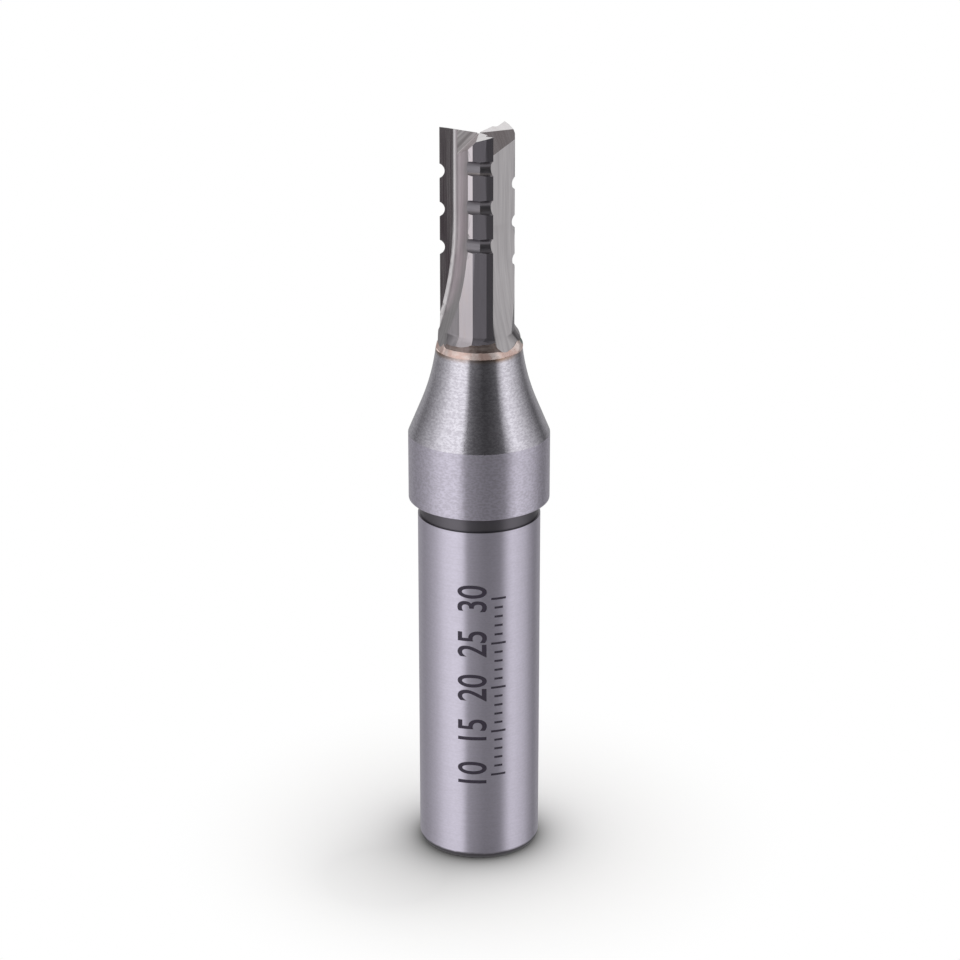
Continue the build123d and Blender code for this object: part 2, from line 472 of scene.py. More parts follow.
@dataclass(frozen=True)
class CarbideFinish:
    """One grind of the carbide head. Streaks run along the wheel's path, which is the map's V."""

    name: str
    dark: Colour
    light: Colour
    roughness: float = 0.22
    streak_pitch: float = 0.12     # mm across the streaks
    streak_length: float = 6.0     # mm along them
    streak_contrast: float = 0.5   # 0 is even, 1 swings between the dark and the light tint
    streak_depth: float = 0.0008   # mm
    stain: Colour = (0.45, 0.36, 0.36)
    stain_share: float = 0.15
    foot_share: float = 1.0        # share of its lightness left at the head's foot; darker towards the bottom
    foot_limits: Limits = (58.0, 75.0)     # mm, heights where its lightness starts to rise and is whole
    streak_levels: Limits = (0.32, 0.68)   # levels of the noise that give the two tints
    band_across: float = 0.22      # broad bands to each streak, across the marks
    band_along: float = 0.5        # broad bands to each streak, along them
    band_share: float = 0.45       # how far the bands take over from the streaks
    stain_cells: Cells = (1.6, 0.35, 1.0)  # in one millimetre
    stain_levels: Limits = (0.5, 0.75)     # levels of the stains, from none to whole
    roughness_swing: float = 0.2   # share by which the streaks take the roughness up and down

    def material(self) -> bpy.types.Material:
        """Material of this grind.

        Returns:
            The material.
        """
        made, graph = new_material(self.name)
        path = graph.node("ShaderNodeUVMap", uv_map=CuttingHead.MAP).outputs[0]
        fine = graph.stretched(path, (1.0 / self.streak_pitch, 1.0 / self.streak_length, 1.0))
        broad_across = self.band_across / self.streak_pitch
        broad = graph.stretched(path, (broad_across, self.band_along / self.streak_length, 1.0))
        streaks = graph.grain(fine, detail=3.0, roughness=0.65)
        bands = graph.grain(broad, detail=2.0)
        mixed = graph.blend(self.band_share, streaks, bands)
        swing = 0.5 * self.streak_contrast
        share = graph.step(mixed, *self.streak_levels, 0.5 - swing, 0.5 + swing)
        colour = graph.tint(share, self.dark, self.light)
        stains = graph.grain(graph.stretched(path, self.stain_cells), detail=2.0)
        stains = graph.math("MULTIPLY", graph.step(stains, *self.stain_levels), self.stain_share)
        colour = graph.tint(stains, colour, self.stain)
        # Darker towards the head's foot.
        if self.foot_share < 1.0:
            height = graph.node("ShaderNodeSeparateXYZ", {0: path}).outputs["Y"]
            lightness = graph.step(height, *self.foot_limits, self.foot_share, 1.0)
            colour = graph.tint(1.0, colour, lightness, mode="MULTIPLY")
        smooth = self.roughness * (1.0 - self.roughness_swing)
        coarse = self.roughness * (1.0 + self.roughness_swing)
        close_surface(
            graph,
            {
                "Base Color": colour,
                "Metallic": 1.0,
                "Roughness": graph.blend(streaks, smooth, coarse),
                "Normal": graph.relief(streaks, self.streak_depth * MM),
            },
        )
        return made


@dataclass(frozen=True)
class BrazeFinish:
    """Silver solder with a copper tone, grey where flux has dried on it."""

    copper: Colour = (0.81, 0.59, 0.53)
    pale: Colour = (0.96, 0.83, 0.79)
    tarnish: Colour = (0.46, 0.31, 0.25)
    flux: Colour = (0.36, 0.41, 0.39)
    metallic: float = 0.82
    roughness: float = 0.36
    roughness_shares: Limits = (0.8, 1.3)      # of the roughness, in the hollows and on the lumps
    lump_size: float = 0.35     # mm
    lump_depth: float = 0.015   # mm
    cloud_size: float = 3.0     # size of a pale cloud, in lumps
    pale_levels: Limits = (0.35, 0.7)          # levels of the clouds, from copper to pale
    tarnish_levels: Limits = (0.26, 0.38)      # levels of the lumps, from tarnished to clean
    tarnish_share: float = 0.6  # how far the hollows are tarnished
    flux_place: tuple[float, float, float] = (4.2, -0.2, 56.5)     # mm
    flux_size: float = 0.80     # mm, radius of the crust of flux
    flux_edge: float = 0.30     # mm over which it thins out

    def material(self) -> bpy.types.Material:
        """Material of the filler.

        Returns:
            The material.
        """
        made, graph = new_material(Slot.BRAZE.value)
        place = graph.place()
        lumps = graph.grain(place, scale=PER_MM / self.lump_size, detail=3.0, roughness=0.6)
        clouds = graph.grain(place, scale=PER_MM / (self.cloud_size * self.lump_size), detail=2.0)
        colour = graph.tint(graph.step(clouds, *self.pale_levels), self.copper, self.pale)
        tarnished = graph.step(lumps, *self.tarnish_levels, self.tarnish_share, 0.0)
        colour = graph.tint(tarnished, colour, self.tarnish)
        away = graph.distance(place, self.flux_place)
        crust = graph.step(away, self.flux_size, self.flux_size + self.flux_edge, 1.0, 0.0)
        colour = graph.tint(crust, colour, self.flux)
        smooth, coarse = (self.roughness * share for share in self.roughness_shares)
        close_surface(
            graph,
            {
                "Base Color": colour,
                "Metallic": self.metallic,
                "Roughness": graph.blend(lumps, smooth, coarse),
                "Normal": graph.relief(lumps, self.lump_depth * MM),
            },
        )
        return made


@dataclass(frozen=True)
class EtchFinish:
    """Dark matt mark that a laser leaves on ground steel."""

    mark: Colour = (0.035, 0.028, 0.045)
    pale: Colour = (0.080, 0.068, 0.095)
    metallic: float = 0.6
    roughness: float = 0.5
    fleck_size: float = 0.10    # mm

    def material(self) -> bpy.types.Material:
        """Material of the marks.

        Returns:
            The material.
        """
        made, graph = new_material("laser_etch")
        flecks = graph.grain(graph.place(), scale=PER_MM / self.fleck_size, detail=2.0)
        close_surface(
            graph,
            {
                "Base Color": graph.tint(flecks, self.mark, self.pale),
                "Metallic": self.metallic,
                "Roughness": self.roughness,
            },
        )
        return made


# ---- Meshes -------------------------------------------------------------------------------------
def tangent_arc(start: Vector, tangent: Vector, end: Vector, steps: int) -> list[Vector]:
    """Points of an arc that leaves a point along a tangent and ends in another point.

    Args:
        start: First point, in the XZ plane.
        tangent: Direction in which the arc leaves it.
        end: Last point.
        steps: Stretches between the points.

    Returns:
        The points after the first, up to the last.
    """
    side = Vector((-tangent.z, 0.0, tangent.x)).normalized()
    chord = end - start
    radius = chord.length_squared / (2.0 * chord.dot(side))
    centre = start + side * radius
    sweep = 2.0 * tangent.xz.angle_signed(chord.xz)
    turn = [Matrix.Rotation(sweep * step / steps, 3, "Y") for step in range(1, steps + 1)]
    return [centre + spin @ (start - centre) for spin in turn]


def spun(profile: Sequence[Vector], steps: int) -> bmesh.types.BMesh:
    """Closed solid of revolution about Z.

    Args:
        profile: Points in the XZ plane, from the axis back to the axis.
        steps: Faces in one turn.

    Returns:
        The mesh, in millimetres.
    """
    bm = bmesh.new()
    corners = [bm.verts.new(point) for point in profile]
    edges = [bm.edges.new(pair) for pair in zip(corners, corners[1:])]
    bmesh.ops.spin(
        bm,
        geom=corners + edges,
        axis=(0.0, 0.0, 1.0),
        cent=(0.0, 0.0, 0.0),
        angle=2.0 * math.pi,
        steps=steps,
        use_merge=True,
    )
    bmesh.ops.remove_doubles(bm, verts=bm.verts, dist=MERGE_DISTANCE)
    bmesh.ops.recalc_face_normals(bm, faces=bm.faces)
    return bm


def ring_at(bm: bmesh.types.BMesh, radius: float, height: float) -> list[bmesh.types.BMEdge]:
    """Edges of one turned corner.

    Args:
        bm: Solid of revolution.
        radius: Radius of the corner.
        height: Height of the corner.

    Returns:
        Its edges all the way round.
    """
    def on_ring(vert: bmesh.types.BMVert) -> bool:
        """Whether a point lies on the corner."""
        return abs(vert.co.z - height) < TOUCHING and abs(vert.co.xy.length - radius) < TOUCHING

    return [edge for edge in bm.edges if all(on_ring(vert) for vert in edge.verts)]


def as_piece(bm: bmesh.types.BMesh, name: str, slot: Slot, sharp_angle: float = 30.0) -> bpy.types.Object:
    """Turns a mesh in millimetres into a piece of the bit.

    Args:
        bm: Mesh, which is freed.
        name: Name of the piece.
        slot: Material slot of the record; not used.
        sharp_angle: Edges that turn by more degrees than this stay sharp.

    Returns:
        The piece, at the origin and riding on the bit.
    """
    mesh = bpy.data.meshes.new(name)
    bm.to_mesh(mesh)
    bm.free()
    mesh.transform(Matrix.Scale(MM, 4))
    mesh.polygons.foreach_set("use_smooth", [True] * len(mesh.polygons))
    mesh.set_sharp_from_angle(angle=math.radians(sharp_angle))
    piece = bpy.data.objects.new(name, mesh)
    bpy.context.scene.collection.objects.link(piece)
    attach(piece, BODY)
    return piece


def even_normals(piece: bpy.types.Object) -> None:
    """Lets the large faces set the shading, so that narrow edge breaks stay narrow.

    Args:
        piece: Piece to shade.
    """
    weighted = piece.modifiers.new("even_normals", "WEIGHTED_NORMAL")
    weighted.mode = "FACE_AREA"
    weighted.weight = 100
    weighted.keep_sharp = True


# ---- Sub-assemblies -----------------------------------------------------------------------------
@dataclass
class SteelShank:
    """One turned piece: ground shank, relief neck, collar, flared cone and the head's socket."""

    shank_radius: float = 6.35
    shank_length: float = 39.0     # up to the collar
    end_radius: float = 0.8        # rounding of the end face's edge
    neck_depth: float = 0.2
    neck_width: float = 1.7
    collar_radius: float = 7.29
    collar_height: float = 7.1
    cone_height: float = 9.05
    cone_straight: float = 3.2     # height of its straight part, under the flare
    cone_angle: float = 22.6       # degrees from the axis
    mouth_radius: float = 4.42
    socket_radius: float = 4.3
    socket_depth: float = 14.0     # down to the end of the full bore
    drill_angle: float = 118.0     # degrees
    edge_break: float = 0.05
    collar_break: float = 0.09     # of the collar's lower edge
    facets: int = 256              # faces in one turn
    flare_steps: int = 24          # stretches of the flare's arc
    finish: SteelFinish = field(default_factory=SteelFinish)

    @property
    def neck_bottom(self) -> float:
        """Height where the relief neck starts."""
        return self.shank_length - self.neck_width

    @property
    def collar_top(self) -> float:
        """Height of the collar's upper edge."""
        return self.shank_length + self.collar_height

    @property
    def mouth_height(self) -> float:
        """Height of the socket's mouth."""
        return self.collar_top + self.cone_height

    @property
    def socket_floor(self) -> float:
        """Height where the socket's full bore ends."""
        return self.mouth_height - self.socket_depth

    @property
    def drill_tip(self) -> float:
        """Height of the cone that the drill leaves under the bore."""
        return self.socket_floor - self.socket_radius / math.tan(math.radians(self.drill_angle / 2.0))

    def profile(self) -> list[Vector]:
        """Half section from the centre of the end face round to the bottom of the socket.

        Returns:
            The points in the XZ plane.
        """
        slope = math.tan(math.radians(self.cone_angle))
        neck_radius = self.shank_radius - self.neck_depth
        flare_start = Vector(
            (self.collar_radius - self.cone_straight * slope, 0.0, self.collar_top + self.cone_straight)
        )
        mouth = Vector((self.mouth_radius, 0.0, self.mouth_height))
        outside = [
            Vector((0.0, 0.0, 0.0)),
            Vector((self.shank_radius, 0.0, 0.0)),
            Vector((self.shank_radius, 0.0, self.neck_bottom)),
            Vector((neck_radius, 0.0, self.neck_bottom)),
            Vector((neck_radius, 0.0, self.shank_length)),
            Vector((self.collar_radius, 0.0, self.shank_length)),
            Vector((self.collar_radius, 0.0, self.collar_top)),
            flare_start,
        ]
        flare = tangent_arc(flare_start, Vector((-slope, 0.0, 1.0)), mouth, self.flare_steps)
        socket = [
            Vector((self.socket_radius, 0.0, self.mouth_height)),
            Vector((self.socket_radius, 0.0, self.socket_floor)),
            Vector((0.0, 0.0, self.drill_tip)),
        ]
        return outside + flare + socket

    def build(self) -> bpy.types.Object:
        """Spins the section, breaks its edges and dresses the piece.

        Returns:
            The piece that stands for the steel node.
        """
        bm = spun(self.profile(), self.facets)
        breaks = (
            # radius and height of the corner, size of its rounding, and steps in that
            (self.shank_radius, 0.0, self.end_radius, 10),
            (self.shank_radius, self.neck_bottom, self.edge_break, 2),
            (self.collar_radius, self.shank_length, self.collar_break, 3),
            (self.collar_radius, self.collar_top, self.edge_break, 2),
        )
        for radius, height, size, segments in breaks:
            bmesh.ops.bevel(
                bm,
                geom=ring_at(bm, radius, height),
                offset=size,
                segments=segments,
                profile=0.5,
                affect="EDGES",
                material=-1,
            )
        piece = as_piece(bm, "satin_steel_shank", Slot.STEEL)
        even_normals(piece)
        piece.data.materials.append(self.finish.material(self))
        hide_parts("steel_shank")
        return piece


@dataclass
class CuttingHead:
    """Carbide head: a merged copy of the solid, with the finish of each grind on its own faces."""

    MAP = "grind"                  # map whose U runs across the wheel's marks and V along them

    blank_radius: float = 4.2
    cutting_radius: float = 4.0
    mouth_height: float = 55.15    # height of the socket's mouth
    land_end: float = 57.3         # height of the lands' lower end
    tip_height: float = 77.8
    first_edge: float = -69.54     # degrees from +X to the front tooth's cutting edge
    tooth_count: int = 3
    rake_angle: float = 9.57       # degrees
    land_slopes: tuple[float, ...] = (11.7, 24.8, 50.2, 62.0)  # degrees back to each facet's normal
    notch_radius: float = 0.82
    notch_depth: float = 0.48
    notch_slopes: tuple[float, float] = (12.0, 37.0)   # degrees back to the normals of its two cuts
    notch_turn: float = 19.0       # degrees behind the edge where the second cut takes over
    notch_first: float = 3.15      # from the tip down to the first notch of the front tooth
    notch_pitch: float = 3.93      # between the notches of one tooth
    notch_count: int = 3           # on each tooth
    gash_reach: float = 4.2        # from the tip down, where the end teeth's faces have their middles
    gash_wall_offset: float = 0.1  # mm from the gash's upright wall to the tooth's centre line
    gash_fall: float = 45.2        # degrees that the gash's corner falls along that wall
    rake_depth: float = 1.67       # from the cutting edge to the foot of the rake face
    flute_bearing: float = 25.45   # degrees from a tooth's edge back to its flute's normal
    flute_wheel_radius: float = 36.5   # of the wheel that ground the flutes
    flute_end_height: float = 0.36     # from the mouth up to where its curve leaves the blank

    # How a face is told by its middle and its normal. The rise of a normal is its Z. Bearings
    # are degrees from the cutting edge's own, and minus is behind the edge.
    same_way: float = 0.999        # least share of the normal along the way that it should point
    surface_miss: float = 0.01     # mm by which a face may lie off its surface
    wall_miss: float = 0.06        # mm, the same for a gash's wall
    notch_miss: float = 0.012      # mm, the same for a notch
    slope_miss: float = 1.5        # degrees by which a land's facet may miss its slope
    upright: float = 0.05          # most rise of the normal of an upright face
    land_bearings: Limits = (-90.0, 2.0)       # where a land's faces lie
    run_out_margin: float = 0.05   # mm over the lands' end, where their run-outs may still lie
    run_out_rise: Limits = (0.3, 0.95)         # rise of the normals of those run-outs
    run_out_bearings: Limits = (-70.0, 0.0)    # and their bearings
    end_face_rise: float = 0.9     # least rise of the normal of an end face
    gash_rise: Limits = (0.6, 0.8)             # rise of the normals of the gashes' floors
    blank_margin: float = 1.0      # mm under the mouth where no grind reaches any more

    def finishes(self) -> dict[Region, CarbideFinish]:
        """Finish of each region.

        Returns:
            Region to finish.
        """
        return {
            Region.BLANK: CarbideFinish(
                "carbide_blank", (0.20, 0.145, 0.13), (0.42, 0.355, 0.335), roughness=0.50,
                streak_pitch=0.5, streak_length=0.3, streak_contrast=0.9, stain_share=0.5,
            ),
            Region.LAND: CarbideFinish(
                "carbide_land", (0.62, 0.575, 0.65), (0.72, 0.67, 0.75), roughness=0.19,
                streak_contrast=0.5, stain_share=0.08,
            ),
            Region.BACK: CarbideFinish(
                "carbide_back_clearance", (0.67, 0.615, 0.655), (0.78, 0.72, 0.755), roughness=0.19,
                streak_contrast=0.5, stain=(0.78, 0.66, 0.64), stain_share=0.25, foot_share=0.74,
            ),
            Region.HEEL: CarbideFinish(
                "carbide_heel", (0.35, 0.33, 0.35), (0.46, 0.43, 0.455), roughness=0.30,
                streak_contrast=0.8, stain_share=0.1,
            ),
            Region.FLUTE: CarbideFinish(
                "carbide_flute", (0.48, 0.455, 0.47), (0.77, 0.74, 0.755), roughness=0.30,
                streak_pitch=0.09, streak_length=5.0, streak_contrast=0.62,
                stain=(0.59, 0.555, 0.57), stain_share=0.28,
            ),
            Region.RAKE: CarbideFinish(
                "carbide_rake", (0.37, 0.305, 0.34), (0.86, 0.79, 0.82), roughness=0.24,
                streak_contrast=0.95, stain=(0.50, 0.395, 0.435), stain_share=0.45,
            ),
            # The notch's dark colour is painted shade in the groove.
            Region.NOTCH: CarbideFinish(
                "carbide_notch", (0.24, 0.225, 0.25), (0.38, 0.36, 0.39), roughness=0.34,
                streak_pitch=0.06, streak_length=1.0,
            ),
            Region.GASH: CarbideFinish(
                "carbide_gash", (0.415, 0.365, 0.372), (0.55, 0.502, 0.512), roughness=0.26,
                streak_pitch=0.16, streak_length=8.0, streak_contrast=0.9,
            ),
            Region.GASH_WALL: CarbideFinish(
                "carbide_gash_wall", (0.36, 0.325, 0.335), (1.0, 0.955, 0.965), roughness=0.38,
                streak_pitch=0.20, streak_length=8.0, streak_contrast=1.0, streak_depth=0.008,
            ),
            Region.END_FACE: CarbideFinish(
                "carbide_end_face", (0.64, 0.615, 0.62), (0.735, 0.715, 0.72), roughness=0.24,
            ),
        }

    def in_tooth_frame(self, vector: Vector, tooth: int) -> Vector:
        """A vector turned so that the tooth's cutting edge lies on +X.

        Args:
            vector: Point or direction.
            tooth: Number of the tooth.

        Returns:
            The turned vector.
        """
        angle = self.first_edge + tooth * 360.0 / self.tooth_count
        return Matrix.Rotation(-math.radians(angle), 3, "Z") @ vector

    def on_rake(self, centre: Vector, normal: Vector) -> bool:
        """Tells the rake faces.

        Args:
            centre: Middle of the face.
            normal: Its normal.

        Returns:
            Whether the face lies on a rake face.
        """
        rake = math.radians(self.rake_angle)
        across = Vector((-math.sin(rake), math.cos(rake), 0.0))
        for tooth in range(self.tooth_count):
            point = self.in_tooth_frame(centre, tooth)
            facing = self.in_tooth_frame(normal, tooth).dot(across)
            distance = (point - Vector((self.cutting_radius, 0.0, 0.0))).dot(across)
            if facing > self.same_way and abs(distance) < self.surface_miss:
                return True
        return False

    def on_gash_wall(self, centre: Vector, normal: Vector) -> bool:
        """Tells the upright walls of the gashes.

        Args:
            centre: Middle of the face.
            normal: Its normal.

        Returns:
            Whether the face lies on such a wall.
        """
        for tooth in range(self.tooth_count):
            facing = self.in_tooth_frame(normal, tooth).y
            away = abs(self.in_tooth_frame(centre, tooth).y - self.gash_wall_offset)
            if facing > self.same_way and away < self.wall_miss:
                return True
        return False

    def land_facet(self, centre: Vector, normal: Vector) -> int | None:
        """Which facet of a land a face lies on, counting the sloping run-out under each.

        Args:
            centre: Middle of the face.
            normal: Its normal.

        Returns:
            Number of the facet, from the cutting edge back, or None off the lands.
        """
        first_bearing, last_bearing = self.land_bearings
        least_rise, most_rise = self.run_out_rise
        least_turn, most_turn = self.run_out_bearings
        for tooth in range(self.tooth_count):
            point = self.in_tooth_frame(centre, tooth)
            facing = self.in_tooth_frame(normal, tooth)
            behind = math.degrees(math.atan2(point.y, point.x))
            if not first_bearing < behind < last_bearing:
                continue
            angle = math.degrees(math.atan2(facing.y, facing.x))
            misses = [abs(angle + slope) for slope in self.land_slopes]
            nearest = misses.index(min(misses))
            if abs(facing.z) < self.upright and misses[nearest] < self.slope_miss:
                return nearest
            low = centre.z < self.land_end + self.run_out_margin
            if low and least_rise < facing.z < most_rise and least_turn < angle < most_turn:
                return nearest
        return None

    def flute_radius(self, bearing: float, height: float) -> float:
        """Distance from the axis out to the floor of the nearest flute, which climbs to the mouth.

        Args:
            bearing: Degrees from +X.
            height: Height above the shank's end.

        Returns:
            The distance in millimetres.
        """
        pitch = 360.0 / self.tooth_count
        away = (bearing - self.first_edge - self.flute_bearing + pitch / 2.0) % pitch - pitch / 2.0
        lean = math.cos(math.radians(self.flute_bearing - self.rake_angle))
        core = self.cutting_radius * math.cos(math.radians(self.flute_bearing)) - self.rake_depth * lean
        wheel = self.flute_wheel_radius
        full_lift = (self.blank_radius - core) / lean
        run_out = math.sqrt(full_lift * (2.0 * wheel - full_lift))
        start = self.mouth_height + self.flute_end_height + run_out
        lift = wheel - math.sqrt(wheel**2 - max(start - height, 0.0) ** 2)
        return (core + lift * lean) / math.cos(math.radians(away))

    def on_notch(self, centre: Vector) -> bool:
        """Tells the round grooves of the chip breakers.

        Args:
            centre: Middle of the face.

        Returns:
            Whether the face lies in such a groove.
        """
        first_slope, second_slope = self.notch_slopes
        first = (self.cutting_radius - self.notch_depth) * math.cos(math.radians(first_slope))
        turn_radius = first / math.cos(math.radians(self.notch_turn - first_slope))
        second = turn_radius * math.cos(math.radians(second_slope - self.notch_turn))
        for tooth in range(self.tooth_count):
            point = self.in_tooth_frame(centre, tooth)
            order = (self.tooth_count - tooth) % self.tooth_count
            for notch in range(self.notch_count):
                depth = self.notch_first + (order / self.tooth_count + notch) * self.notch_pitch
                rise = point.z - (self.tip_height - depth)
                for slope, distance in ((first_slope, first), (second_slope, second)):
                    outward = Vector((math.cos(math.radians(slope)), -math.sin(math.radians(slope)), 0.0))
                    inset = point.dot(outward) - (distance + self.notch_radius)
                    miss = abs(math.hypot(inset, rise) - self.notch_radius)
                    if miss < self.notch_miss and point.x > 0.0:
                        return True
        return False

    def region_of(self, face: bmesh.types.BMFace) -> Region:
        """Region that a face belongs to.

        Args:
            face: Face of the head, in millimetres.

        Returns:
            The region.
        """
        centre = face.calc_center_median()
        normal = face.normal
        rim = self.blank_radius - self.surface_miss
        on_blank = all(vert.co.xy.length > rim for vert in face.verts)
        near_tip = centre.z > self.tip_height - self.gash_reach
        least_rise, most_rise = self.gash_rise
        if on_blank or centre.z < self.mouth_height - self.blank_margin:
            return Region.BLANK
        if near_tip and normal.z > self.end_face_rise:
            return Region.END_FACE
        if near_tip and least_rise < normal.z < most_rise:
            return Region.GASH
        if near_tip and self.on_gash_wall(centre, normal):
            return Region.GASH_WALL
        if self.on_notch(centre):
            return Region.NOTCH
        if self.on_rake(centre, normal):
            return Region.RAKE
        facet = self.land_facet(centre, normal)
        if facet is None:
            return Region.FLUTE
        return (Region.LAND, Region.LAND, Region.BACK, Region.HEEL)[facet]

    def wheel_marks(self, region: Region, point: Vector, normal: Vector) -> tuple[float, float]:
        """Place of a point on the map of the wheel's marks.

        Args:
            region: Region of the point's face.
            point: The point, in millimetres.
            normal: Normal of its face.

        Returns:
            Distance across the marks and along them, in millimetres.
        """
        if region in (Region.GASH, Region.GASH_WALL, Region.END_FACE):
            along = Vector((0.0, 0.0, 1.0)) - normal * normal.z
            along = along.normalized() if along.length > NEAR_ZERO else Vector((1.0, 0.0, 0.0))
            if region is Region.GASH_WALL:
                along = Matrix.Rotation(math.radians(self.gash_fall - 90.0), 3, normal) @ along
            return point.dot(normal.cross(along)), point.dot(along)
        if region is Region.NOTCH:
            return point.z, math.atan2(point.y, point.x) * self.cutting_radius
        if region is Region.BLANK:
            return math.atan2(point.y, point.x) * self.blank_radius, point.z
        flat = Vector((normal.x, normal.y, 0.0))
        flat = flat.normalized() if flat.length > NEAR_ZERO else Vector((1.0, 0.0, 0.0))
        return point.dot(Vector((-flat.y, flat.x, 0.0))), point.z

    def build(self) -> bpy.types.Object:
        """Merges a copy of the head's solid, sorts its faces by grind and dresses them.

        Returns:
            The piece that stands for the head's node.
        """
        bm = bmesh.new()
        bm.from_mesh(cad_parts["cutting_head"].data)
        bmesh.ops.scale(bm, vec=(PER_MM,) * 3, verts=bm.verts)
        bmesh.ops.remove_doubles(bm, verts=bm.verts, dist=MERGE_DISTANCE)
        bmesh.ops.dissolve_degenerate(bm, edges=bm.edges, dist=MERGE_DISTANCE)
        bm.normal_update()
        marks = bm.loops.layers.uv.new(self.MAP)
        order = list(Region)
        for face in bm.faces:
            region = self.region_of(face)
            face.material_index = order.index(region)
            for loop in face.loops:
                loop[marks].uv = self.wheel_marks(region, loop.vert.co, face.normal)
        piece = as_piece(bm, "ground_carbide_head", Slot.CARBIDE, sharp_angle=9.0)
        finishes = self.finishes()
        for region in order:
            piece.data.materials.append(finishes[region].material())
        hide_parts("cutting_head")
        return piece


@dataclass
class BrazeJoint:
    """Filler round the head's spigot, with the uneven bead that stands on the socket's mouth."""

    blank_radius: float = 4.2      # of the spigot that it grips
    bead_height: float = 0.65
    tail_clearance: float = 0.4    # from the end of the socket's full bore up to the spigot's tail
    tail_chamfer: float = 0.5
    bead_steps: int = 14           # stretches of the bead's outline
    facets: int = 300              # faces in one turn
    bulge: float = 0.04            # mm, how far the bead swells past a straight cone
    climb_bulge: float = 0.16      # more of it for each mm that the bead climbs
    unevenness: float = 0.03       # mm
    uneven_cells: float = 1.7      # cells of that unevenness in one millimetre
    bead_from: float = 1e-3        # share of the bead's height up to which nothing is worked
    ground_under: float = 0.012    # mm that the bead stays under a flute that cuts it
    # Rises of the bead, or dips where the size is negative: bearing in degrees from +X, half
    # width in degrees, and size in mm.
    lean: tuple[float, float, float] = (-2.0, 15.0, 0.42)  # how far its top leans in
    climbs: tuple[tuple[float, float, float], ...] = (     # how far it climbs the head
        (-49.0, 9.0, -0.20),
        (-21.0, 9.0, 0.46),
        (-2.0, 14.0, 0.80),
        (-150.0, 4.0, 0.34),
        (-165.0, 9.0, -0.20),
        (62.0, 8.0, -0.15),
        (96.0, 10.0, 0.40),
    )
    finish: BrazeFinish = field(default_factory=BrazeFinish)

    def profile(self, shank: SteelShank) -> list[Vector]:
        """Half section of the filler.

        Args:
            shank: The piece that it fills.

        Returns:
            The points in the XZ plane.
        """
        tail = shank.socket_floor + self.tail_clearance
        bead = []
        for step in range(self.bead_steps + 1):
            share = step / self.bead_steps
            swell = self.bulge * math.sin(math.pi * share)
            radius = shank.mouth_radius + (self.blank_radius - shank.mouth_radius) * share + swell
            bead.append(Vector((radius, 0.0, shank.mouth_height + self.bead_height * share)))
        return [
            Vector((0.0, 0.0, shank.drill_tip)),
            Vector((shank.socket_radius, 0.0, shank.socket_floor)),
            Vector((shank.socket_radius, 0.0, shank.mouth_height)),
            *bead,
            Vector((self.blank_radius, 0.0, tail + self.tail_chamfer)),
            Vector((self.blank_radius - self.tail_chamfer, 0.0, tail)),
            Vector((0.0, 0.0, tail)),
        ]

    def climb_at(self, angle: float) -> float:
        """Extra height of the bead.

        Args:
            angle: Degrees from +X.

        Returns:
            The height in millimetres.
        """
        return sum(self.hump(angle, climb) for climb in self.climbs)

    @staticmethod
    def hump(angle: float, shape: tuple[float, float, float]) -> float:
        """Rounded rise about one bearing.

        Args:
            angle: Degrees from +X.
            shape: Bearing of its middle, half width in degrees and full size.

        Returns:
            Size of the rise at that angle.
        """
        middle, half_width, size = shape
        away = (angle - middle + 180.0) % 360.0 - 180.0
        return size * math.exp(-((away / half_width) ** 2))

    def build(self, shank: SteelShank, head: CuttingHead) -> bpy.types.Object:
        """Spins the filler, works its bead uneven and cuts it back where a flute was ground.

        Args:
            shank: The piece that it fills.
            head: The piece that it holds.

        Returns:
            The piece that stands for the braze node.
        """
        bm = spun(self.profile(shank), self.facets)
        for vert in bm.verts:
            share = (vert.co.z - shank.mouth_height) / self.bead_height
            if share <= self.bead_from:
                continue
            angle = math.degrees(math.atan2(vert.co.y, vert.co.x))
            lump = noise.noise(vert.co * self.uneven_cells) * self.unevenness
            climb = self.climb_at(angle)
            swell = self.climb_bulge * climb * math.sin(math.pi * min(share, 1.0))
            height = vert.co.z + (climb + lump) * share
            floor = head.flute_radius(angle, height) - self.ground_under
            swell -= self.hump(angle, self.lean) * min(share, 1.0) ** 2
            radius = min(vert.co.xy.length + swell + lump * (1.0 - share), floor)
            vert.co = Vector((math.cos(math.radians(angle)), math.sin(math.radians(angle)), 0.0)) * radius
            vert.co.z = height
        bm.normal_update()
        piece = as_piece(bm, "braze_bead", Slot.BRAZE, sharp_angle=40.0)
        piece.data.materials.append(self.finish.material())
        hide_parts("braze_joint")
        return piece


